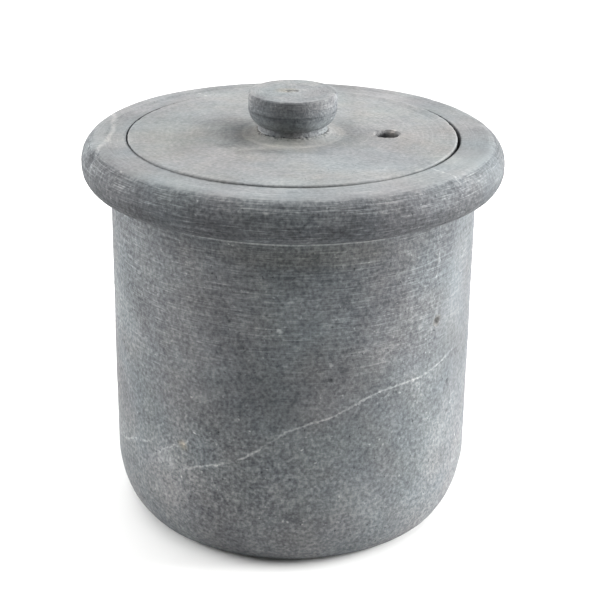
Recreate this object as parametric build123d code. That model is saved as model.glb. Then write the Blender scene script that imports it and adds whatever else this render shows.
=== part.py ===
from build123d import *
import os

# A lidded pot turned from soapstone: the pot is one block, the lid drops into a seat
# in its rim, and the lid's knob is turned separately and glued in by a spigot.
# Millimetres, +Z up, origin at the centre of the pot's underside, vent hole towards +X.

# Pot
pot_height = 187.0        # underside to the flat top of the rim
body_d = 174.4            # outside of the straight body
wall = 15.0               # thickness of the body's wall
base = 20.0               # thickness of the pot's floor
foot_inset = 12.7         # how far the rounded foot draws in from the body
foot_rise = 28.0          # height of the rounded foot
cavity_corner = 20.0      # radius between the cavity's floor and its wall

# Rim, a half-round collar around the mouth
rim_overhang = 12.8       # how far the rim stands out beyond the body
nose_r = 10.7             # radius of the rim's rounded side
nose_rise = 10.2          # centre of that radius below the rim's flat top
neck_depth = 0.5          # tool relief cut into the body under the rim
neck_height = 1.9

# Seat for the lid
ledge = 6.6               # width of the ledge that the lid rests on
lid_gap = 1.0             # clearance around the lid in its seat
lid_shift = 0.45          # the loose lid lies this far towards -X
edge_break = 0.6          # worn corner on the seat and its ledge

# Lid
lid_thickness = 13.0
lid_proud = 0.4           # the lid's top stands this much above the rim
lid_edge = 1.0            # rounding at the lid's rim, above and below
boss_foot_d = 46.0        # where the boss under the knob flows out of the lid
boss_top_d = 34.0
boss_height = 2.1
vent_d = 10.0
vent_offset = 45.1        # vent's centre from the lid's centre

# Knob
knob_d = 42.0
knob_side = 7.4           # height of its straight side
knob_bowl = 7.6           # height of the rounded underside
knob_waist_d = 31.4       # narrowest place, below the bowl
knob_flare = 2.6          # height of the cove from the waist out to the foot
knob_foot_d = 33.0
knob_lip = 0.6            # upright edge of the foot
knob_edge = 0.9
spigot_d = 14.0
spigot_length = 7.0
glue_gap = 0.2            # glue film around the spigot
socket_spare = 0.5        # room under the spigot's end

# Worked out from the sizes above
body_r = body_d / 2
cavity_r = body_r - wall
seat_r = cavity_r + ledge
lid_r = seat_r - lid_gap
rim_r = body_r + rim_overhang
nose_centre_r = rim_r - nose_r
nose_z = pot_height - nose_rise
rim_flat_r = nose_centre_r + (nose_r**2 - nose_rise**2) ** 0.5
rim_under_z = nose_z - nose_r
ledge_z = pot_height + lid_proud - lid_thickness
lid_top_z = ledge_z + lid_thickness
joint_z = lid_top_z + boss_height


def turned(outline):
    """Turn a closed half section, drawn in X and Z, around the Z axis."""
    with BuildPart() as body:
        with BuildSketch(Plane.XZ):
            with BuildLine():
                outline()
            make_face()
        revolve(axis=Axis.Z)
    return body.part


def pot_outline():
    foot_r = body_r - foot_inset
    neck_r = body_r - neck_depth
    neck_z = rim_under_z - neck_height
    Line((0, 0), (foot_r, 0))
    EllipticalCenterArc((foot_r, foot_rise), foot_inset, foot_rise, start_angle=-90, arc_size=90)
    Polyline(
        (body_r, foot_rise),
        (body_r, neck_z),
        (neck_r, neck_z + neck_depth),
        (neck_r, rim_under_z),
        (nose_centre_r, rim_under_z),
    )
    ThreePointArc((nose_centre_r, rim_under_z), (rim_r, nose_z), (rim_flat_r, pot_height))
    Polyline(
        (rim_flat_r, pot_height),
        (seat_r + edge_break, pot_height),
        (seat_r, pot_height - edge_break),
        (seat_r, ledge_z),
        (cavity_r + edge_break, ledge_z),
        (cavity_r, ledge_z - edge_break),
        (cavity_r, base + cavity_corner),
    )
    CenterArc((cavity_r - cavity_corner, base + cavity_corner), cavity_corner, 270, 90)
    Polyline((cavity_r - cavity_corner, base), (0, base), (0, 0))


def lid_outline():
    boss_foot_r = boss_foot_d / 2
    boss_top_r = boss_top_d / 2
    socket_r = spigot_d / 2 + glue_gap
    socket_z = joint_z - spigot_length - socket_spare
    Polyline((0, ledge_z), (lid_r - lid_edge, ledge_z), (lid_r, ledge_z + lid_edge), (lid_r, lid_top_z - lid_edge))
    CenterArc((lid_r - lid_edge, lid_top_z - lid_edge), lid_edge, 0, 90)
    Line((lid_r - lid_edge, lid_top_z), (boss_foot_r, lid_top_z))
    TangentArc((boss_foot_r, lid_top_z), (boss_top_r, joint_z), tangent=(-1, 0))
    Polyline((boss_top_r, joint_z), (socket_r, joint_z), (socket_r, socket_z), (0, socket_z), (0, ledge_z))


def knob_outline():
    spigot_r = spigot_d / 2
    foot_r = knob_foot_d / 2
    waist_r = knob_waist_d / 2
    knob_r = knob_d / 2
    spigot_z = joint_z - spigot_length
    lip_z = joint_z + knob_lip
    waist_z = lip_z + knob_flare
    side_z = waist_z + knob_bowl
    top_z = side_z + knob_side
    Polyline((0, spigot_z), (spigot_r, spigot_z), (spigot_r, joint_z), (foot_r, joint_z), (foot_r, lip_z))
    TangentArc((waist_r, waist_z), (foot_r, lip_z), tangent=(0, -1))
    TangentArc((knob_r, side_z), (waist_r, waist_z), tangent=(0, -1))
    Line((knob_r, side_z), (knob_r, top_z - knob_edge))
    CenterArc((knob_r - knob_edge, top_z - knob_edge), knob_edge, 0, 90)
    Polyline((knob_r - knob_edge, top_z), (0, top_z), (0, spigot_z))


def make_lid():
    vent_z = ledge_z + lid_thickness / 2
    vent = Pos(vent_offset, 0, vent_z) * Cylinder(vent_d / 2, lid_thickness * 2)
    return Pos(-lid_shift, 0, 0) * (turned(lid_outline) - vent)


parts = {
    "pot": turned(pot_outline),
    "lid": make_lid(),
    "lid_knob": Pos(-lid_shift, 0, 0) * turned(knob_outline),
}

os.makedirs("parts", exist_ok=True)
for name, shape in parts.items():
    export_step(shape, f"parts/{name}.step")
    print(name, "written")
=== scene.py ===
import math
import bmesh
import bpy
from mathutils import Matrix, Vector, noise


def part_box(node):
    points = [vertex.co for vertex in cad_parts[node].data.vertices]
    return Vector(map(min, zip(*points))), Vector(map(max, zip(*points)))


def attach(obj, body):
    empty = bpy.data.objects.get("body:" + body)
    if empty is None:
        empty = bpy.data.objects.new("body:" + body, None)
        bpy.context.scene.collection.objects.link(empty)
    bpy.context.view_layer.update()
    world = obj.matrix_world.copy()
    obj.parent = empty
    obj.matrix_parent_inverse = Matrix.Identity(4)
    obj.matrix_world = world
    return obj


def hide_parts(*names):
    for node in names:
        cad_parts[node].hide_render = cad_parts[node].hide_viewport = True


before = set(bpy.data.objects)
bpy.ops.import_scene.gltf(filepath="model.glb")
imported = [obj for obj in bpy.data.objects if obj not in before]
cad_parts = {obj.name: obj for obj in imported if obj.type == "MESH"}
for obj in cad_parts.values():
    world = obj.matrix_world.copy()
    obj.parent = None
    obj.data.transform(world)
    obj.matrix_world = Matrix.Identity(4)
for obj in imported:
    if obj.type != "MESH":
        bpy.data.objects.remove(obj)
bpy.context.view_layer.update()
scene = bpy.context.scene
mm = 0.001  # sizes below are in millimetres, the scene is in metres
onAxis = 1e-6  # a radius below this is the axis itself
creaseAngle = math.radians(50)  # edges sharper than this keep their crease


def toLinear(hexText):  # sRGB hex to the linear colour that sockets take
    parts = [int(hexText[i:i + 2], 16) / 255 for i in (1, 3, 5)]
    return [c / 12.92 if c <= 0.04045 else ((c + 0.055) / 1.055) ** 2.4 for c in parts] + [1.0]


def addNode(tree, kind, inputs=None, **settings):  # an input is a constant, a socket, or a node
    node = tree.nodes.new(kind)
    for key, value in settings.items():
        setattr(node, key, value)
    for key, source in (inputs or {}).items():
        source = source.outputs[0] if hasattr(source, "outputs") else source
        if isinstance(source, bpy.types.NodeSocket):
            tree.links.new(source, node.inputs[key])
        else:
            node.inputs[key].default_value = source
    return node


cameraView = {
    "distance": 750.0,       # from the aim point
    "elevation": 23.14,      # degrees above the horizon
    "aimHeight": 101.3,      # height of the aim point on the pot's axis
    "aimRight": 3.9,         # the pot stands a little left of the middle
    "roll": 0.62,            # the camera was held almost level
    "lens": 90.8,            # focal length, on a sensor this wide:
    "sensor": 36.0,
}


def placeCamera(view):
    data = bpy.data.cameras.new("camera")
    data.lens = view["lens"]
    data.sensor_width = view["sensor"]
    camera = bpy.data.objects.new("camera", data)
    scene.collection.objects.link(camera)
    up = math.radians(view["elevation"])
    middle = Vector((0, 0, view["aimHeight"] * mm))
    camera.location = middle + Vector((0, -math.cos(up), math.sin(up))) * view["distance"] * mm
    aim = middle + Vector((view["aimRight"] * mm, 0, 0))
    camera.rotation_euler = (aim - camera.location).to_track_quat("-Z", "Y").to_euler()
    camera.rotation_euler.rotate_axis("Z", math.radians(view["roll"]))
    scene.camera = camera


placeCamera(cameraView)
print("camera placed")


# Each piece is turned: an outline of (radius, height, ripple) is spun round the axis. Lines and
# arcs are cut into steps of a given length, and ripple is how strongly tool lines show there.
def lineTo(outline, end, step, ripple=0.0):
    start = outline[-1]
    count = max(1, round(math.dist(start[:2], end) / step))
    for i in range(1, count + 1):
        t = i / count
        outline.append((start[0] + (end[0] - start[0]) * t, start[1] + (end[1] - start[1]) * t, ripple))


def arcTo(outline, centre, radii, startAngle, endAngle, step, ripple=0.0):
    count = max(2, round(abs(math.radians(endAngle - startAngle)) * sum(radii) / 2 / step))
    for i in range(1, count + 1):
        a = math.radians(startAngle + (endAngle - startAngle) * i / count)
        outline.append((centre[0] + radii[0] * math.cos(a), centre[1] + radii[1] * math.sin(a), ripple))


def easeTo(outline, corner, end, step, ripple=0.0):  # a soft bend, drawn towards the corner
    start = outline[-1]
    count = max(2, round(math.dist(start[:2], end) / step))
    for i in range(1, count + 1):
        t = i / count
        outline.append(tuple((1 - t) ** 2 * start[k] + 2 * t * (1 - t) * corner[k] + t ** 2 * end[k]
                             for k in (0, 1)) + (ripple,))


def spin(name, outline, columns, relief, shift=0.0):
    vertices, faces, starts = [], [], []
    travelled = 0.0
    for row, (radius, height, ripple) in enumerate(outline):
        before, after = outline[max(row - 1, 0)], outline[min(row + 1, len(outline) - 1)]
        size = math.dist(before[:2], after[:2])
        outward, upward = (after[1] - before[1]) / size, (before[0] - after[0]) / size
        travelled += math.dist(outline[row - 1][:2], (radius, height)) if row else 0.0
        starts.append(len(vertices))
        if radius < onAxis:
            vertices.append((shift, 0.0, height))
            continue
        for column in range(columns):
            a = 2 * math.pi * column / columns
            place = Vector((radius * math.sin(a), -radius * math.cos(a), height))
            push = relief(place, travelled, ripple)  # along the surface's own direction
            wide = radius + push * outward
            vertices.append((wide * math.sin(a) + shift, -wide * math.cos(a), height + push * upward))
    for row in range(len(outline) - 1):
        low, high = starts[row], starts[row + 1]
        for column in range(columns):
            beside = (column + 1) % columns
            if outline[row][0] < onAxis:
                faces.append((low, high + beside, high + column))
            elif outline[row + 1][0] < onAxis:
                faces.append((low + column, low + beside, high))
            else:
                faces.append((low + column, low + beside, high + beside, high + column))
    mesh = bpy.data.meshes.new(name)
    mesh.from_pydata([(x * mm, y * mm, z * mm) for x, y, z in vertices], [], faces)
    mesh.shade_smooth()
    mesh.set_sharp_from_angle(angle=creaseAngle)
    piece = bpy.data.objects.new(name, mesh)
    scene.collection.objects.link(piece)
    return piece


def onStone(angle, radius, height):  # a place on a turned piece, angle in degrees from the front towards +X
    a = math.radians(angle)
    return Vector((radius * math.sin(a), -radius * math.cos(a), height))


def awayFrom(place, angle, reach):  # 0 at this angle round the piece, 1 at the end of its reach
    return min(math.degrees(place.xy.angle(onStone(angle, 1.0, 0.0).xy)) / reach, 1.0)


def chipped(place, chips):  # how deep the chips (centre, size, depth) cut at this place
    ragged, raggedWaves = 0.25, 2.2  # how uneven a chip's outline is, and how often over its size
    depth = 0.0
    for centre, size, deep in chips:
        near = (place - centre).length / size
        if near < 1 + ragged:
            near += ragged * noise.noise(place * (raggedWaves / size))
            depth = max(depth, deep * (1 - min(max(near, 0.0), 1.0) ** 2))
    return depth


# The pot is one block of soapstone, turned inside and out.
potLow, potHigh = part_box("pot")
potShape = {
    "rimRadius": potHigh.x / mm,
    "height": potHigh.z / mm,
    "bodyRadius": 87.2,
    "wall": 15.0,
    "floorThickness": 20.0,
    "footInset": 12.7,
    "footRise": 28.0,
    "cavityCorner": 20.0,
    "noseRadius": 10.7,
    "noseRise": 10.2,
    "neckDepth": 0.5,
    "neckHeight": 1.9,
    "ledge": 6.6,
    "seatDepth": 12.6,
    "edgeWear": 0.6,
    "columns": 600,
    "plainBand": 50.0,       # below the rim the tool lines stand out over this height
    "smoothFrom": 35.0,      # degrees up the nose, where the tool lines grow faint
    "creaseEase": 9.0,       # degrees over which the nose eases into the flat
    "creaseWidth": 2.4,      # and how far in that goes
    "rippleSpacing": 1.7,    # turning tool's feed, in two overlaid passes
    "secondSpacing": 2.7,
    "rippleDepth": 0.05,
    "unevenness": 0.16,      # hand dressing, over a few centimetres
    "swell": 0.45,           # the body is a little fuller low down
    "lean": 0.3,             # and turned a little off the rim's axis
    "lowFrom": 165.0,        # both change between this height
    "lowTo": 65.0,           # and this one
    "footFade": 25.0,        # and the fullness is gone at the foot
    "noseSag": 0.8,          # the rim's nose is fuller below its middle
    "rimFlats": [(38, 99.7), (98, 99.9)],                # (angle, distance from the axis)
    "rimSwells": [(-128, 60, 0.6), (137, 45, 0.5)],      # (angle, reach each way, height)
}
potShape["chips"] = [        # (centre, size, depth)
    (onStone(-71, 98.0, 184.5), 5.5, 1.1),
    (onStone(-64, 99.0, 181.0), 3.0, 0.5),
    (onStone(45, 97.0, 186.0), 2.5, 0.5),
    (onStone(131, 98.5, 184.0), 6.0, 0.9),
    (onStone(-152, 99.5, 172.0), 4.5, 0.7),
    (onStone(178, 96.0, 186.5), 3.5, 0.6),
    (onStone(49, 87.4, 116.5), 1.7, 0.7),
    (onStone(57, 87.4, 80.8), 1.5, 0.6),
    (onStone(58, 87.4, 70.0), 1.6, 0.6),
    (onStone(63, 87.4, 142.0), 1.4, 0.6),
    (onStone(118, 87.4, 60.0), 2.4, 0.6),
    (onStone(-118, 87.4, 132.0), 2.0, 0.6),
    (onStone(-160, 87.4, 74.0), 2.8, 0.7),
    (onStone(-14, 82.0, 11.0), 3.0, 0.5),
    (onStone(100, 79.0, 4.0), 5.0, 0.9),
    (onStone(68, 84.0, 13.0), 26.0, 0.8),
]


def potOutline(s):
    bodyRadius, height = s["bodyRadius"], s["height"]
    cavityRadius = bodyRadius - s["wall"]
    footRadius = bodyRadius - s["footInset"]
    noseCentre = s["rimRadius"] - s["noseRadius"]
    noseHeight = height - s["noseRise"]
    underRim = noseHeight - s["noseRadius"]
    neckBottom = underRim - s["neckHeight"]
    neckRadius = bodyRadius - s["neckDepth"]
    flatRadius = noseCentre + math.sqrt(s["noseRadius"] ** 2 - s["noseRise"] ** 2)
    flatAngle = math.degrees(math.asin(s["noseRise"] / s["noseRadius"]))
    seatRadius = cavityRadius + s["ledge"]
    ledgeHeight = height - s["seatDepth"]
    wear = s["edgeWear"]
    corner = s["cavityCorner"]
    outline = [(0.0, 0.0, 0.0)]
    lineTo(outline, (footRadius, 0), 4.0)
    arcTo(outline, (footRadius, s["footRise"]), (s["footInset"], s["footRise"]), -90, 0, 0.8, 0.4)
    lineTo(outline, (bodyRadius, neckBottom - s["plainBand"]), 0.8, 0.4)
    lineTo(outline, (bodyRadius, neckBottom), 0.5, 1.0)
    lineTo(outline, (neckRadius, neckBottom + s["neckDepth"]), 0.25)
    lineTo(outline, (neckRadius, underRim), 0.35)
    lineTo(outline, (noseCentre, underRim), 0.5)
    nose, smoothFrom, easeAngle = (noseCentre, noseHeight), s["smoothFrom"], flatAngle - s["creaseEase"]
    arcTo(outline, nose, (s["noseRadius"],) * 2, -90, smoothFrom, 0.4, 1.2)
    arcTo(outline, nose, (s["noseRadius"],) * 2, smoothFrom, easeAngle, 0.4, 0.4)
    easeTo(outline, (flatRadius, height), (flatRadius - s["creaseWidth"], height), 0.4, 0.1)
    lineTo(outline, (seatRadius + wear, height), 0.6, 0.15)
    arcTo(outline, (seatRadius + wear, height - wear), (wear, wear), 90, 180, 0.25)
    lineTo(outline, (seatRadius, ledgeHeight), 1.0)
    lineTo(outline, (cavityRadius + wear, ledgeHeight), 0.8)
    arcTo(outline, (cavityRadius + wear, ledgeHeight - wear), (wear, wear), 90, 180, 0.3)
    lineTo(outline, (cavityRadius, s["floorThickness"] + corner), 1.6, 1.0)
    arcTo(outline, (cavityRadius - corner, s["floorThickness"] + corner), (corner,) * 2, 0, -90, 1.6, 1.0)
    lineTo(outline, (0, s["floorThickness"]), 2.0, 1.0)
    return outline


def potRelief(place, travelled, ripple):
    # noise.noise(place * 0.03) waves over about 30 mm, and a larger factor over less
    s = potShape
    sway = noise.noise(place * 0.03)
    push = s["unevenness"] * (sway + 0.4 * noise.noise(place * 0.11))
    if place.z < 0.01:
        return -abs(push) * 0.3  # the underside stays on the floor
    radius = place.xy.length
    if ripple:
        beat = math.sin(2 * math.pi * travelled / s["rippleSpacing"] + 2 * sway)
        beat += math.sin(2 * math.pi * travelled / s["secondSpacing"] + 5 * noise.noise(place * 0.02))
        push += s["rippleDepth"] * ripple * beat * (0.6 + noise.noise(place * 0.06))
    seatEdge = s["bodyRadius"] - s["wall"] + s["ledge"] + s["edgeWear"] / 2
    if radius < seatEdge:
        return push * 0.5  # the seat and the cavity have no chips, and the lid needs its gap
    low = min(max((s["lowFrom"] - place.z) / (s["lowFrom"] - s["lowTo"]), 0.0), 1.0)
    low *= min(place.z / s["footFade"], 1.0)
    push += s["swell"] * low - chipped(place, s["chips"])
    if radius < s["bodyRadius"] + 1:
        return push + s["lean"] * (place.x / radius - 1) * (1 - low)
    below = (s["height"] - s["noseRise"] - place.z) / s["noseRadius"]
    if below > 0:
        push += s["noseSag"] * math.sin(math.pi * min(below, 1.0) ** 1.6)
    outer = min(max((radius - s["bodyRadius"]) / 8, 0.0), 1.0)  # the swells grow over 8 mm of rim
    for angle, reach, high in s["rimSwells"]:
        push += high * outer * (0.5 + 0.5 * math.cos(math.pi * awayFrom(place, angle, reach)))
    for angle, limit in s["rimFlats"]:
        push -= max(0.0, place.dot(onStone(angle, 1.0, 0.0)) - limit) * 0.9
    return push


potBody = spin("pot_body", potOutline(potShape), potShape["columns"], potRelief)
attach(potBody, "pot")
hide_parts("pot")
print("pot turned")


# The lid is a flat disc with a vent hole and a low boss for the knob.
lidLow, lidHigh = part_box("lid")
lidShape = {
    "radius": (lidHigh.x - lidLow.x) / 2 / mm,
    "axis": (lidHigh.x + lidLow.x) / 2 / mm,   # the loose lid lies a little to one side
    "underside": lidLow.z / mm,
    "thickness": 13.0,
    "edge": 1.0,
    "bossFoot": 23.0,
    "bossTop": 17.0,
    "bossHeight": 2.1,
    "knobFoot": 16.5,
    "socketRadius": 7.2,
    "socketDepth": 7.5,
    "columns": 480,
    "rippleSpacing": 2.3,
    "rippleDepth": 0.02,
    "unevenness": 0.07,
    "highEdge": 0.6,         # the lid's edge stands this much higher on one side
    "highSide": 135.0,       # where that is, in degrees from the front towards +X
    "highReach": 62.0,       # and how far it reaches each way
    "highWidth": 6.0,        # and in from the edge
    "nickDepth": 0.5,        # along the edge
    "pitDepth": 0.4,         # all along the joint with the knob
}
ventShape = {
    "offset": 45.1,
    "radius": 5.15,
    "lip": 1.0,              # the drilled edge has crumbled this wide
    "lipDepth": 1.1,
    "chips": [(-40.0, 1.3), (-95.0, 0.6), (15.0, 1.0)],  # (angle, depth) of the chips in that edge
    "columns": 72,
}


def lidOutline(s):
    low = s["underside"]
    top = low + s["thickness"]
    joint = top + s["bossHeight"]
    run = s["bossFoot"] - s["bossTop"]
    cove = (run ** 2 + s["bossHeight"] ** 2) / (2 * s["bossHeight"])
    coveEnd = math.degrees(math.asin(run / cove))
    outline = [(0.0, low, 0.0)]
    lineTo(outline, (s["radius"] - s["edge"], low), 3.0)
    lineTo(outline, (s["radius"], low + s["edge"]), 0.5)
    lineTo(outline, (s["radius"], top - s["edge"]), 1.1)
    arcTo(outline, (s["radius"] - s["edge"], top - s["edge"]), (s["edge"],) * 2, 0, 90, 0.25)
    lineTo(outline, (s["bossFoot"], top), 0.6, 1.0)
    arcTo(outline, (s["bossFoot"], top + cove), (cove, cove), -90, -90 - coveEnd, 0.4, 1.0)
    lineTo(outline, (s["knobFoot"] - 0.6, joint), 0.2)   # fine steps, for the pits
    lineTo(outline, (s["socketRadius"], joint), 1.2)
    lineTo(outline, (s["socketRadius"], joint - s["socketDepth"]), 1.5)
    lineTo(outline, (0, joint - s["socketDepth"]), 2.5)
    return outline


def lidRelief(place, travelled, ripple):
    s = lidShape
    radius = place.xy.length
    top = s["underside"] + s["thickness"]
    push = s["unevenness"] * noise.noise(place * 0.05) * (place.z > top - 2)
    if ripple:
        beat = math.sin(2 * math.pi * travelled / s["rippleSpacing"] + 3 * noise.noise(place * 0.03))
        push += s["rippleDepth"] * ripple * beat
    upper = place.z > top - s["edge"] - 0.1
    if upper and radius > s["radius"] - s["highWidth"]:
        away = awayFrom(place, s["highSide"], s["highReach"])
        nearEdge = min((radius - s["radius"] + s["highWidth"]) / 4, 1.0)  # full after 4 mm
        push += s["highEdge"] * nearEdge * (0.5 + 0.5 * math.cos(math.pi * away))
    if upper and radius > s["radius"] - s["edge"] - 0.3:
        push -= s["nickDepth"] * max(0.0, noise.noise(place * 0.35) - 0.18)
    if s["knobFoot"] - 0.7 < radius < s["bossTop"] + 1.5 and place.z > top + s["bossHeight"] - 0.5:
        crumbled = noise.noise(place * 0.6) + 0.4 * noise.noise(place * 1.3)
        push -= s["pitDepth"] * min(max(crumbled, 0.0), 0.6)
    return push


def ventCutter(s, lid):
    top = lid["underside"] + lid["thickness"]
    spare = 3  # the cutter stands out this far, above and below
    outline = [(0.0, lid["underside"] - spare, 0.0)]
    lineTo(outline, (s["radius"], lid["underside"] - spare), 2.5)
    lineTo(outline, (s["radius"], top - s["lipDepth"]), 1.5)
    lineTo(outline, (s["radius"] + s["lip"], top + 0.1), 0.3, 1.0)
    lineTo(outline, (s["radius"] + s["lip"], top + spare), 1.5, 1.0)
    lineTo(outline, (0, top + spare), 2.5)

    def crumble(place, travelled, ripple):
        push = 0.3 * noise.noise(place * 0.7)
        for angle, deep in s["chips"]:  # a chip fades out 37 degrees to each side, where the cosine is 0.8
            push += deep * 5 * max(0.0, place.xy.normalized().dot(onStone(angle, 1.0, 0.0).xy) - 0.8)
        return ripple * push

    return spin("vent_cutter", outline, s["columns"], crumble, s["offset"] + lid["axis"])


def drill(piece, cutter):
    drilling = piece.modifiers.new("vent", "BOOLEAN")
    drilling.operation = "DIFFERENCE"
    drilling.solver = "EXACT"
    drilling.object = cutter
    bpy.context.view_layer.update()
    mesh = bpy.data.meshes.new_from_object(piece.evaluated_get(bpy.context.evaluated_depsgraph_get()))
    work = bmesh.new()  # clears the slivers that the drilling leaves
    work.from_mesh(mesh)
    bmesh.ops.remove_doubles(work, verts=work.verts, dist=0.02 * mm)
    bmesh.ops.dissolve_degenerate(work, edges=work.edges, dist=0.005 * mm)
    bmesh.ops.triangulate(work, faces=[face for face in work.faces if len(face.verts) > 4])
    work.to_mesh(mesh)
    work.free()
    piece.modifiers.clear()
    piece.data = mesh
    bpy.data.objects.remove(cutter)
    mesh.shade_smooth()
    mesh.set_sharp_from_angle(angle=creaseAngle)


lidDisc = spin("lid_disc", lidOutline(lidShape), lidShape["columns"], lidRelief, lidShape["axis"])
drill(lidDisc, ventCutter(ventShape, lidShape))
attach(lidDisc, "lid")
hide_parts("lid")
print("lid turned and drilled")


# The knob is turned by itself, and glued into the boss by its spigot.
knobLow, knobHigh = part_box("lid_knob")
knobTop = knobHigh.z / mm
knobShape = {
    "radius": (knobHigh.x - knobLow.x) / 2 / mm,
    "top": knobTop,
    "spigotEnd": knobLow.z / mm,
    "spigotRadius": 7.0,
    "spigotLength": 7.0,
    "foot": 16.5,
    "lip": 0.6,
    "waist": 15.7,
    "flare": 1.9,
    "bowl": 8.3,
    "edge": 0.9,
    "columns": 300,
    "rippleSpacing": 1.3,
    "rippleDepth": 0.03,
    "unevenness": 0.1,
    "chips": [
        (onStone(82, 21.2, knobTop - 1.0), 2.2, 0.7),
        (onStone(74, 21.2, knobTop - 4.5), 1.4, 0.5),
        (onStone(-48, 21.0, knobTop), 1.8, 0.4),
        (onStone(165, 21.2, knobTop - 3), 2.6, 0.5),
        (onStone(-120, 21.0, knobTop - 6), 2.0, 0.4),
        (onStone(95, 1.6, knobTop), 1.3, 0.7),      # the lathe's centre mark
        (onStone(-60, 2.6, knobTop), 1.0, 0.4),
    ],
}


def knobOutline(s):
    joint = s["spigotEnd"] + s["spigotLength"]
    waistHeight = joint + s["lip"] + s["flare"]
    sideLow = waistHeight + s["bowl"]
    run = s["radius"] - s["waist"]
    bowlRadius = (run ** 2 + s["bowl"] ** 2) / (2 * run)
    bowlStart = -math.degrees(math.asin(s["bowl"] / bowlRadius))
    spread = s["foot"] - s["waist"]
    coveRadius = (spread ** 2 + s["flare"] ** 2) / (2 * spread)
    coveEnd = 180 + math.degrees(math.asin(s["flare"] / coveRadius))
    outline = [(0.0, s["spigotEnd"], 0.0)]
    lineTo(outline, (s["spigotRadius"], s["spigotEnd"]), 2.5)
    lineTo(outline, (s["spigotRadius"], joint), 1.5)
    lineTo(outline, (s["foot"], joint), 1.5)
    lineTo(outline, (s["foot"], joint + s["lip"]), 0.2)
    arcTo(outline, (s["waist"] + coveRadius, waistHeight), (coveRadius,) * 2, coveEnd, 180, 0.2)
    arcTo(outline, (s["radius"] - bowlRadius, sideLow), (bowlRadius,) * 2, bowlStart, 0, 0.35, 1.0)
    lineTo(outline, (s["radius"], s["top"] - s["edge"]), 0.35, 1.0)
    arcTo(outline, (s["radius"] - s["edge"], s["top"] - s["edge"]), (s["edge"],) * 2, 0, 90, 0.25)
    lineTo(outline, (0, s["top"]), 0.45, 0.6)
    return outline


def knobRelief(place, travelled, ripple):
    s = knobShape
    if not ripple and place.z < s["top"] - 2:
        return 0.0  # the spigot fits its socket
    push = s["unevenness"] * (noise.noise(place * 0.09) + 0.3 * noise.noise(place * 0.5))
    beat = math.sin(2 * math.pi * travelled / s["rippleSpacing"] + 3 * noise.noise(place * 0.08))
    push += s["rippleDepth"] * ripple * beat * (0.6 + noise.noise(place * 0.2))
    return min(push - chipped(place, s["chips"]), 0.1)


knobPiece = spin("knob", knobOutline(knobShape), knobShape["columns"], knobRelief, lidShape["axis"])
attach(knobPiece, "lid")
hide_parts("lid_knob")
print("knob turned")


# The stone is soapstone, of talc and chlorite, soft enough to turn like wood. It is matt and a
# little greasy, blue-grey where freshly cut, pale where its own dust lies or it has been rubbed
# smooth. A node's unnamed inputs are given by number.
def turningLines(tree, measures, thickness, length, reach):
    # lines of this thickness and length round the axis, on a wall and on a flat top alike,
    # as noise that is stretched along the turning direction, from -1 to 1
    wound = addNode(tree, "ShaderNodeVectorMath", {0: measures["around"], "Scale": reach / length},
                    operation="SCALE")
    rise = addNode(tree, "ShaderNodeMath", {0: measures["height"], 1: 1 / thickness}, operation="MULTIPLY")
    lift = addNode(tree, "ShaderNodeCombineXYZ", {"Z": rise})
    vector = addNode(tree, "ShaderNodeVectorMath", {0: wound, 1: lift}, operation="ADD")
    across = addNode(tree, "ShaderNodeMath", {0: measures["radius"], 1: 1 / thickness}, operation="MULTIPLY")
    lines = addNode(tree, "ShaderNodeTexNoise", {"Vector": vector, "W": across, "Scale": 1.0, "Detail": 1.0,
                                                 "Roughness": 0.6}, noise_dimensions="4D")
    return addNode(tree, "ShaderNodeMapRange", {0: lines, "From Min": 0.34, "From Max": 0.66,
                                                "To Min": -1.0})


def speckle(tree, place, size, detail=2.0, low=0.3, high=0.7, floor=-1.0):
    # spots of this size; noise from low to high becomes floor to 1
    texture = addNode(tree, "ShaderNodeTexNoise", {"Vector": place, "Scale": 0.5 / size, "Detail": detail,
                                                   "Roughness": 0.6})
    return addNode(tree, "ShaderNodeMapRange", {0: texture, "From Min": low, "From Max": high,
                                                "To Min": floor})


def zone(tree, measures, ramps):  # ramps: (measure, start, end), rising to 1 or falling from it
    made = None
    for key, start, end in ramps:
        limits = {"From Min": min(start, end), "From Max": max(start, end),
                  "To Min": float(start > end), "To Max": float(start < end)}
        ramp = addNode(tree, "ShaderNodeMapRange", {0: measures[key], **limits},
                       interpolation_type="SMOOTHSTEP")
        made = ramp if made is None else addNode(tree, "ShaderNodeMath", {0: made, 1: ramp},
                                                 operation="MULTIPLY")
    return made


def patch(tree, place, centre, radii):  # a soft spot, 1 in its middle
    sizes = tuple(1 / r for r in radii)
    offset = tuple(-c / r for c, r in zip(centre, radii))
    near = addNode(tree, "ShaderNodeVectorMath", {0: place, 1: sizes, 2: offset}, operation="MULTIPLY_ADD")
    away = addNode(tree, "ShaderNodeVectorMath", {0: near}, operation="LENGTH").outputs["Value"]
    return addNode(tree, "ShaderNodeMapRange", {0: away, "From Min": 0.2, "To Min": 1.0, "To Max": 0.0},
                   interpolation_type="SMOOTHSTEP")


def addUp(tree, base, parts):  # base plus each part (value, amount)
    total = base
    for value, amount in parts:
        total = addNode(tree, "ShaderNodeMath", {0: value, 1: amount, 2: total}, operation="MULTIPLY_ADD")
    return total


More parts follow.
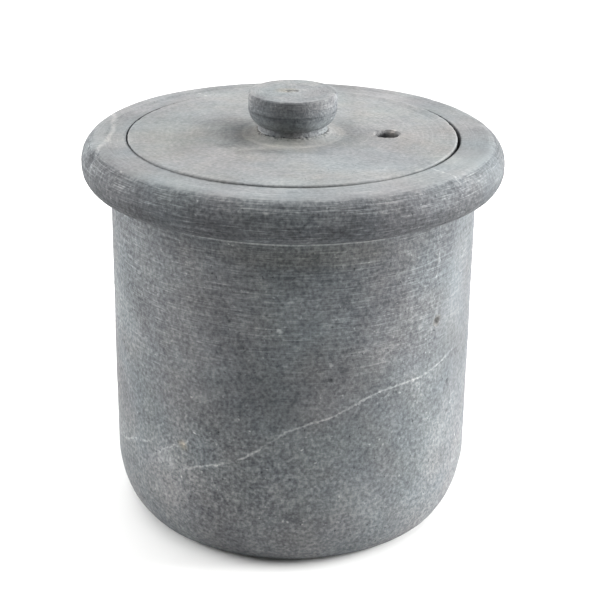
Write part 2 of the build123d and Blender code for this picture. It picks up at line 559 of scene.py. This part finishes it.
def vein(tree, place, jitter, look):
    # a crack through the block that has healed pale: the stone within a width of a wavy plane,
    # shown between its two ends, measured along the look's own direction
    along = addNode(tree, "ShaderNodeVectorMath", {0: place, 1: look["along"]},
                    operation="DOT_PRODUCT").outputs["Value"]
    across = addNode(tree, "ShaderNodeVectorMath", {0: place, 1: look["normal"]},
                     operation="DOT_PRODUCT").outputs["Value"]
    gap = addNode(tree, "ShaderNodeMath", {0: across, 1: look["offset"]}, operation="SUBTRACT")
    waves = []
    for height, spacing, phase in look["waves"]:
        turn = addNode(tree, "ShaderNodeMath", {0: along, 1: 2 * math.pi / spacing, 2: phase},
                       operation="MULTIPLY_ADD")
        waves.append((addNode(tree, "ShaderNodeMath", {0: turn}, operation="SINE"), -height))
    if "bend" in look:
        amount, middle = look["bend"]
        side = addNode(tree, "ShaderNodeMath", {0: along, 1: middle}, operation="SUBTRACT")
        waves.append((addNode(tree, "ShaderNodeMath", {0: side, 1: side}, operation="MULTIPLY"), -amount))
    gap = addUp(tree, gap, waves + [(jitter, look["jitter"])])
    gap = addNode(tree, "ShaderNodeMath", {0: gap}, operation="ABSOLUTE")
    low, high, fade = look["ends"]
    spot = addNode(tree, "ShaderNodeSeparateXYZ", {0: place})
    measures = {"gap": gap, "along": along, "depth": spot.outputs["Y"], "height": spot.outputs["Z"]}
    core = 0.15  # the part of its width that is fully pale
    limits = [("gap", look["width"], look["width"] * core), ("along", low, low + fade),
              ("along", high, high - fade)]
    shown = zone(tree, measures, limits + look.get("within", []))
    patches = speckle(tree, place, look["breaks"], low=0.36, high=0.56, floor=look["faintest"])
    return addNode(tree, "ShaderNodeMath", {0: shown, 1: patches}, operation="MULTIPLY")


def turnedSoapstone(name, look):
    material = bpy.data.materials.new(name)
    material.use_nodes = True
    tree = material.node_tree
    tree.nodes.clear()
    spot = addNode(tree, "ShaderNodeTexCoord")
    # place is in millimetres from the axis, and stirred is the same, shaken so that no mark is round
    place = addNode(tree, "ShaderNodeVectorMath", {0: spot.outputs["Object"], 1: (1000,) * 3,
                                                   2: (-look["axis"], 0, 0)}, operation="MULTIPLY_ADD")
    flat = addNode(tree, "ShaderNodeVectorMath", {0: place, 1: (1, 1, 0)}, operation="MULTIPLY")
    height = addNode(tree, "ShaderNodeSeparateXYZ", {0: place}).outputs["Z"]
    stir = addNode(tree, "ShaderNodeTexNoise", {"Vector": place, "Scale": 0.12, "Detail": 3.0})
    shaken = addNode(tree, "ShaderNodeVectorMath", {0: stir.outputs["Color"], 1: (1.0,) * 3,
                                                    2: (-0.5,) * 3}, operation="MULTIPLY_ADD")
    stirred = addNode(tree, "ShaderNodeVectorMath", {0: shaken, 1: (look["stir"],) * 3, 2: place},
                      operation="MULTIPLY_ADD")
    measures = {
        "height": height,
        "radius": addNode(tree, "ShaderNodeVectorMath", {0: flat}, operation="LENGTH").outputs["Value"],
        "around": addNode(tree, "ShaderNodeVectorMath", {0: flat}, operation="NORMALIZE"),
        "facing": addNode(tree, "ShaderNodeSeparateXYZ", {0: spot.outputs["Normal"]}).outputs["Z"],
        "roughHeight": addNode(tree, "ShaderNodeSeparateXYZ", {0: stirred}).outputs["Z"],
    }

    # marks of the turning tool: fine and coarse lines, and sparse long pale scratches
    width, length, reach = look["lineWidth"], look["lineLength"], look["reach"]
    fine = turningLines(tree, measures, width, length, reach)
    coarse = turningLines(tree, measures, width * 2.7, length * 2.5, reach)
    scratch = turningLines(tree, measures, width * 0.9, length * 1.7, reach)
    lines = addUp(tree, fine, [(coarse, 0.6)])
    tool = addUp(tree, look["tool"], [(zone(tree, measures, ramps), amount)
                                      for amount, ramps in look["toolZones"]])
    lines = addNode(tree, "ShaderNodeMath", {0: lines, 1: tool}, operation="MULTIPLY")
    scratched = zone(tree, {"scratch": scratch}, [("scratch", 0.42, 0.95)])
    scratched = addNode(tree, "ShaderNodeMath", {0: scratched, 1: tool}, operation="MULTIPLY")

    # grain of talc flakes and darker chlorite, blotches, and clouds a few centimetres wide
    grain = speckle(tree, place, look["grain"])
    blotches = speckle(tree, place, look["grain"] * look["blotch"])
    clouds = speckle(tree, place, look["cloud"], detail=3.0)
    flecks = speckle(tree, place, look["fleck"], detail=1.0, low=0.71, high=0.8, floor=0.0)
    pits = speckle(tree, stirred, look["pit"], detail=1.0, low=0.3, high=0.22, floor=0.0)
    crumbs = speckle(tree, place, look["crumb"], low=0.46, high=0.36, floor=0.0)
    texture = addUp(tree, 0.0, [
        (lines, look["lineTone"]), (scratched, look["scratchTone"]), (grain, look["grainTone"]),
        (blotches, look["blotchTone"]), (flecks, look["fleckTone"]), (pits, look["pitTone"])])
    # the texture is quieter where the stone has been rubbed smooth
    contrast = addUp(tree, 1.0, [(zone(tree, measures, ramps), amount) for amount, ramps in look["calmed"]])
    contrast = addUp(tree, contrast, [(patch(tree, stirred, centre, radii), amount)
                                      for centre, radii, amount in look["calmMarks"]])
    tone = addUp(tree, look["tone"], [(clouds, look["cloudTone"])])
    tone = addUp(tree, tone, [(texture, contrast)])
    tone = addUp(tree, tone, [(zone(tree, measures, ramps), amount) for amount, ramps in look["zones"]])
    for amount, ramps in look["crumbled"]:
        crumbling = addNode(tree, "ShaderNodeMath", {0: zone(tree, measures, ramps), 1: crumbs},
                            operation="MULTIPLY")
        tone = addUp(tree, tone, [(crumbling, amount)])
    tone = addUp(tree, tone, [(patch(tree, stirred, centre, radii), amount)
                              for centre, radii, amount in look["marks"]])
    jitter = addNode(tree, "ShaderNodeTexNoise", {"Vector": place, "Scale": 0.45, "Detail": 3.0})
    jitter = addUp(tree, -0.5, [(jitter, 1.0)])
    tone = addUp(tree, tone, [(vein(tree, place, jitter, one), one["tone"]) for one in look["veins"]])
    stone = addNode(tree, "ShaderNodeValToRGB", {0: tone})
    ramp = stone.color_ramp
    for position, colour in look["ramp"][1:-1]:
        ramp.elements.new(position).color = toLinear(colour)
    for end in (0, -1):
        element, (position, colour) = ramp.elements[end], look["ramp"][end]
        element.position = position
        element.color = toLinear(colour)

    # some parts are a little violet and some a little green, and iron and old oil warm it in places
    shifted = addNode(tree, "ShaderNodeVectorMath", {0: stirred, 1: (310, 70, 150)}, operation="ADD")
    tint = speckle(tree, shifted, look["tintSize"], low=0.36, high=0.64, floor=0.0)
    tint = addNode(tree, "ShaderNodeMix", {"Factor": tint, "A": toLinear(look["coolTint"]),
                                           "B": toLinear(look["rosyTint"])}, data_type="RGBA")
    stone = addNode(tree, "ShaderNodeMix", {"Factor": 1.0, "A": stone, "B": tint.outputs[2]},
                    data_type="RGBA", blend_type="MULTIPLY").outputs[2]
    warm = addUp(tree, look["warm"], [(speckle(tree, stirred, look["warmSize"]), look["warmClouds"])])
    warm = addUp(tree, warm, [(patch(tree, stirred, centre, radii), amount)
                              for centre, radii, amount in look["warmMarks"]])
    warmed = addNode(tree, "ShaderNodeMix", {"Factor": warm, "A": stone, "B": toLinear(look["warmColour"])},
                     data_type="RGBA", blend_type="MULTIPLY")

    # relief: fine lines stand as ridges, and pits and dark grains lie lower
    surface = addUp(tree, 0.0, [(lines, look["lineRelief"]), (grain, look["grainRelief"]),
                                (pits, look["pitRelief"]), (scratched, look["lineRelief"])])
    surface = addNode(tree, "ShaderNodeMath", {0: surface, 1: contrast}, operation="MULTIPLY")
    bump = addNode(tree, "ShaderNodeBump", {"Strength": 1.0, "Distance": mm, "Height": surface})
    rough = addNode(tree, "ShaderNodeMapRange", {0: grain, "From Min": -1.0, "To Min": look["roughest"],
                                                 "To Max": look["smoothest"]})
    shader = addNode(tree, "ShaderNodeBsdfPrincipled", {
        "Base Color": warmed.outputs[2], "Roughness": rough, "Normal": bump,
        "IOR": 1.57, "Specular IOR Level": 0.35})  # talc's index, dulled by its own dust
    addNode(tree, "ShaderNodeOutputMaterial", {"Surface": shader})
    return material


stoneRamp = [(0.0, "#23262a"), (0.25, "#414448"), (0.45, "#5f6366"), (0.62, "#7c8082"), (0.8, "#999b9b"),
             (1.0, "#bebebd")]
# A vein's ends are (from, to, fade) along it, its waves are (height, spacing, phase), its breaks
# are the size of the places where it comes and goes, and faintest is its strength in them.
mainVein = {                 # crosses the front of the body, rising to the right
    "normal": (-0.453, 0.205, 1.0), "along": (1, 0, 0), "offset": 54.17,
    "waves": [(2.14, 105.9, 0.63), (1.34, 42.3, 1.88)],
    "jitter": 2.6, "width": 0.95, "ends": (-60, 82, 14), "breaks": 3.0, "faintest": 0.45, "tone": 0.27,
    "within": [("height", 170, 160)],
}
lowerStrand = {              # runs beside the main vein where that one splits
    **mainVein, "offset": 50.9, "jitter": 6.0, "ends": (36, 66, 8), "faintest": -0.4, "tone": 0.2,
}
shortVein = {                # lower left of the front
    **mainVein, "normal": (-1.0, 0.0, 1.0), "offset": 110.5, "waves": [(1.4, 21.0, 0.4)], "jitter": 6.0,
    "width": 1.0, "ends": (-66, -38, 7), "faintest": -0.3, "tone": 0.2,
}
leftStreak = {
    **mainVein, "normal": (-0.79, 0.0, 1.0), "offset": 106.3, "waves": [(0.8, 15.0, 1.4)],
    "ends": (-86, -60, 6), "faintest": 0.0, "tone": 0.16,
}
rightSeam = {                # down through the rim and the body
    "normal": (0.743, 0.669, 0.0), "along": (0, 0, 1), "offset": 11.0,
    "waves": [(1.2, 47.0, 0.5)], "bend": (-0.0006, 187.0), "jitter": 4.0, "width": 0.8,
    "ends": (84, 232, 40), "breaks": 3.0, "faintest": -0.2, "tone": 0.16,
}
rimVein = {                  # over the top of the rim at the left
    "normal": (1, 0, 0), "along": (0, 1, 0), "offset": -86.1, "waves": [(0.3, 19.0, 0.0)],
    "bend": (-0.0035, 3.0), "jitter": 1.0, "width": 1.9,
    "ends": (-48, 38, 8), "breaks": 3.0, "faintest": 0.5, "tone": 0.16,
    "within": [("height", 171, 176)],
}
backVein = {                 # round the back, falling to the right
    "normal": (0.32, -0.1, 1.0), "along": (1, 0, 0), "offset": 96.0,
    "waves": [(3.1, 88.0, 2.0), (1.1, 31.0, 0.7)],
    "jitter": 3.2, "width": 0.9, "ends": (-80, 58, 18), "breaks": 3.0, "faintest": 0.0, "tone": 0.24,
    "within": [("height", 166, 156), ("depth", 0, 12)],
}

# Tone is a place on the ramp from dark to pale. Zones and marks add to it: a zone is
# (tone, its ramps) and a mark is (centre, radii, tone). Calmed ones change the contrast.
potStoneLook = {
    "axis": 0.0, "reach": 87.0, "stir": 5.0,
    "lineWidth": 0.6,        # mm, coarser than the real 0.2 mm feed, so that it shows
    "lineLength": 8.0,
    "tool": 0.15,
    "toolZones": [(0.6, [("roughHeight", 70, 130)]), (0.35, [("height", 165, 168), ("radius", 88, 90),
                                                             ("facing", 0.95, 0.7)])],
    "crumbled": [],
    "calmed": [(-0.6, [("facing", 0.8, 0.975), ("height", 183, 186)])],
    "calmMarks": [((80, -38, 120), (28, 46, 95), -0.5), ((-28, -80, 48), (64, 50, 48), 0.45),
                  ((92, -38, 178), (24, 50, 16), -0.35)],
    "tintSize": 24.0, "coolTint": "#fafeff", "rosyTint": "#fffafa",
    "grain": 0.85,           # mm, coarser than most real flakes, so that it shows
    "blotch": 3.2,           # blotches are this many times larger than the grain
    "cloud": 20.0, "fleck": 1.1, "pit": 1.0, "crumb": 0.75,      # mm
    "tone": 0.39, "lineTone": 0.06, "scratchTone": 0.16, "grainTone": 0.12, "blotchTone": 0.025,
    "cloudTone": 0.09, "fleckTone": 0.25, "pitTone": -0.2,
    "zones": [
        (0.25, [("facing", 0.72, 0.975), ("height", 182, 185.5)]),           # honed flat of the rim, with dust, and partly painted light on the upward-facing flat
        (-0.29, [("height", 185, 170), ("radius", 88.0, 89.0)]),             # darker down the rim's nose: painted shade, and partly darker stone
        # pale line at the foot of the neck under the rim: a scraped edge, and partly a painted highlight
        (0.28, [("height", 163.0, 163.7), ("height", 165.2, 164.6), ("facing", -0.6, -0.3)]),
        # painted shadow of the rim on the top of the body
        (-0.05, [("roughHeight", 138, 160), ("height", 168, 166)]),
        (0.06, [("roughHeight", 85, 40)]),                                   # paler towards the bottom
    ],
    "marks": [
        (onStone(-71, 98.0, 184.5), (5, 5, 4), -0.22), (onStone(-66, 98.0, 181.0), (4, 4, 2), 0.2),
        ((-40.6, -77.2, 86), (7, 7, 5), 0.1), ((-50, -72, 59), (3, 3, 2), 0.2),
        ((-60, -64, 48), (14, 14, 9), 0.08), ((-22, -84.5, 24), (8, 4, 3), 0.1),
        ((66, -57, 116.5), (2.6, 2.6, 2.2), -0.3), ((73, -47.5, 81), (2.2, 2.2, 2), -0.25),
        ((74, -46, 64.6), (2.4, 2.4, 2), -0.25), ((17.6, -85.4, 98.8), (1.8, 1.8, 1.5), -0.3),
        ((-0.5, -87.2, 136.8), (2.6, 2, 1.1), 0.3), ((-5.7, -87, 123.3), (1.8, 1.8, 1.5), 0.35),
        ((-2.9, -87.2, 106.9), (1.6, 1.6, 1.2), 0.22), ((17.9, -85.3, 106.2), (1.8, 1.8, 1.6), 0.25),
        ((-11.3, -98, 182), (2.6, 2, 1.4), 0.25), ((-8.8, -97, 173.5), (3.2, 2, 0.9), 0.2),
        ((78, -42, 130), (16, 16, 42), 0.05), ((90, -8, 187), (22, 60, 9), -0.06),
        ((93, 24, 186), (6, 9, 4), -0.14),
    ],
    "ramp": stoneRamp,
    "veins": [mainVein, lowerStrand, shortVein, leftStreak, rightSeam, rimVein, backVein],
    "warm": 0.12, "warmClouds": 0.12, "warmSize": 9.0, "warmColour": "#fbeedc",
    "warmMarks": [((10, -86, 158), (60, 30, 9), 0.4), ((66, -57, 116.5), (4, 4, 4), 0.8),
                  ((-50, -72, 59), (4, 4, 4), 0.9)],
    "lineRelief": 0.03, "grainRelief": 0.04, "pitRelief": -0.12,  # mm
    "roughest": 0.85, "smoothest": 0.65,
}
ventX = ventShape["offset"]
lidTop = lidShape["underside"] + lidShape["thickness"]
lidStoneLook = {
    **potStoneLook, "axis": lidShape["axis"], "reach": 60.0, "stir": 7.0,
    "lineWidth": 0.7, "lineLength": 16.0, "tool": 0.5, "toolZones": [],
    "tone": 0.365, "lineTone": 0.03, "scratchTone": 0.04, "grainTone": 0.055, "blotchTone": 0.02,
    "cloudTone": 0.06, "fleckTone": 0.1, "pitTone": -0.1,
    "crumbled": [(-0.42, [("radius", 15.6, 16.3), ("radius", 18.4, 17.2),
                          ("height", lidTop, lidTop + 1)])],
    "calmed": [], "calmMarks": [],
    "zones": [
        (0.29, [("height", lidTop - 2.6, lidTop - 0.2)]),        # honed top, above a dark side
        (-0.03, [("radius", 38, 30), ("radius", 24, 29), ("height", lidTop - 1, lidTop)]),
        (0.05, [("radius", 25.5, 23), ("height", lidTop - 1, lidTop)]),
        (0.07, [("radius", 25.4, 23.6), ("radius", 21, 23), ("height", lidTop - 1, lidTop)]),
    ],
    "marks": [
        ((-27, 4, lidTop), (25, 36, 9), -0.15), ((-23, 1, lidTop), (11, 20, 9), -0.17),
        ((-25, -20, lidTop), (14, 9, 9), -0.1), ((-14, -30, lidTop), (20, 6, 9), -0.12),
        ((14, -32, lidTop), (14, 4, 9), -0.06), ((-42, 16, lidTop), (18, 12, 9), -0.05),
        ((40, 12, lidTop), (18, 7, 9), 0.05), ((-62, -10, lidTop), (14, 30, 9), 0.05),
        ((0, 52, lidTop), (40, 16, 9), 0.04), ((62, -8, lidTop), (18, 40, 9), 0.04),
        ((ventX, 0, lidTop - 8), (5.4, 5.4, 8.5), -0.15),
        # painted light on the vent hole's back wall, which lies in shade
        ((ventX + 2.4, 4.6, lidTop - 2.4), (5, 3, 4), 0.45),
        ((ventX - 5, 4.5, lidTop), (2.2, 1.6, 2), -0.15),
    ],
    "veins": [],
    "warm": 0.2, "warmClouds": 0.15,
    "warmMarks": [((-14, -6, lidTop), (44, 42, 12), 0.25), ((-55, -18, lidTop), (24, 34, 12), 0.2),
                  ((-19, -4, lidTop), (12, 20, 12), 0.3),
                  ((30, -40, lidTop), (34, 22, 12), -0.5), ((ventX, 0, lidTop - 7), (6, 6, 10), 1.0)],
    "lineRelief": 0.012, "grainRelief": 0.02,
}
knobStoneLook = {
    **potStoneLook, "axis": lidShape["axis"], "reach": 21.0, "stir": 3.0,
    "lineWidth": 0.5, "lineLength": 6.0, "tool": 0.7, "toolZones": [],
    "grain": 0.65, "cloud": 9.0, "tintSize": 10.0,
    "tone": 0.5, "lineTone": 0.06, "scratchTone": 0.1, "grainTone": 0.09, "blotchTone": 0.03,
    "fleckTone": 0.2, "pitTone": -0.15,
    "zones": [
        (0.12, [("facing", 0.9, 0.98), ("height", knobTop - 2, knobTop - 1)]),
        (-0.06, [("height", knobTop - 6.2, knobTop - 7.6), ("height", knobTop - 10.5, knobTop - 8)]),
        (-0.1, [("height", knobTop - 7.2, knobTop - 7.7), ("height", knobTop - 8.5, knobTop - 8)]),
        # painted light on the flare at the knob's foot
        (0.06, [("height", knobTop - 15.5, knobTop - 17.5), ("radius", 14, 15)]),
        (0.1, [("height", knobTop - 17.2, knobTop - 17.8), ("radius", 14, 15)]),
    ],
    "crumbled": [(-0.4, [("height", knobTop - 17.2, knobTop - 17.9), ("radius", 15.5, 16)])],
    "calmed": [(-0.35, [("facing", 0.9, 0.98)])],
    "calmMarks": [],
    "marks": [
        ((-1.5, 0.5, knobTop), (3.2, 2.2, 2), -0.3), ((1, 0, knobTop), (11, 10, 3), 0.08),
        ((19, -6, knobTop - 1), (5, 5, 3), 0.12), ((-17, -13, knobTop - 4), (12, 12, 9), -0.1),
        ((2, -21, knobTop - 5), (14, 9, 11), 0.05), ((11, -17, knobTop - 12.5), (8, 8, 5), 0.12),
    ],
    "veins": [],
    "warmMarks": [((-3, 1, knobTop), (8, 6, 3), 0.7)],
}
potBody.data.materials.append(turnedSoapstone("turned_soapstone_pot", potStoneLook))
lidDisc.data.materials.clear()
lidDisc.data.materials.append(turnedSoapstone("honed_soapstone_lid", lidStoneLook))
knobPiece.data.materials.append(turnedSoapstone("turned_soapstone_knob", knobStoneLook))
print("materials made")


studio = {
    "floorSize": 8.0,        # metres, as are the places and sizes of the lights
    "floorColour": "#f4f4f3",
    "skyFront": 0.13, "skyBack": 1.24,                       # brightness behind the camera, and facing it
    "skyFrom": -0.5, "skyTo": 0.6,
    "aim": (0, 0, 0.1),
    "lights": [              # (name, place, width, power in watts)
        ("top_light", (0.0, 0.0, 1.9), 2.4, 34.0),
        ("left_light", (-1.3, 0.3, 0.4), 0.7, 22.0),
        ("right_light", (1.3, 0.1, 0.4), 0.7, 44.0),
    ],
}


def paleFloor(s):
    half = s["floorSize"] / 2
    mesh = bpy.data.meshes.new("floor")
    corners = [(-half, -half, 0), (half, -half, 0), (half, half, 0), (-half, half, 0)]
    mesh.from_pydata(corners, [], [(0, 1, 2, 3)])
    floor = bpy.data.objects.new("floor", mesh)
    floor.location.z = potLow.z
    scene.collection.objects.link(floor)
    material = bpy.data.materials.new("painted_board")  # matt white paint
    material.use_nodes = True
    tree = material.node_tree
    tree.nodes.clear()
    shader = addNode(tree, "ShaderNodeBsdfPrincipled", {"Base Color": toLinear(s["floorColour"]),
                                                        "Roughness": 0.9, "Specular IOR Level": 0.1})
    addNode(tree, "ShaderNodeOutputMaterial", {"Surface": shader})
    mesh.materials.append(material)


def softLight(name, place, aim, width, power):
    data = bpy.data.lights.new(name, "AREA")
    data.shape = "SQUARE"
    data.size = width
    data.energy = power
    light = bpy.data.objects.new(name, data)
    light.location = place
    light.rotation_euler = (Vector(aim) - Vector(place)).to_track_quat("-Z", "Y").to_euler()
    scene.collection.objects.link(light)


def studioSky(s):  # a white sweep behind and beside the pot, dark behind the camera
    world = bpy.data.worlds.new("studio")
    world.use_nodes = True
    tree = world.node_tree
    tree.nodes.clear()
    heading = addNode(tree, "ShaderNodeTexCoord").outputs["Generated"]
    depth = addNode(tree, "ShaderNodeSeparateXYZ", {0: heading}).outputs["Y"]
    level = addNode(tree, "ShaderNodeMapRange", {0: depth, "From Min": s["skyFrom"], "From Max": s["skyTo"],
                                                 "To Min": s["skyFront"], "To Max": s["skyBack"]},
                    interpolation_type="SMOOTHSTEP")
    back = addNode(tree, "ShaderNodeBackground", {"Color": (1, 1, 1, 1), "Strength": level})
    addNode(tree, "ShaderNodeOutputWorld", {"Surface": back})
    scene.world = world


paleFloor(studio)
studioSky(studio)
for name, place, width, power in studio["lights"]:
    softLight(name, place, studio["aim"], width, power)
scene.view_settings.view_transform = "Standard"
print("floor and lights placed")
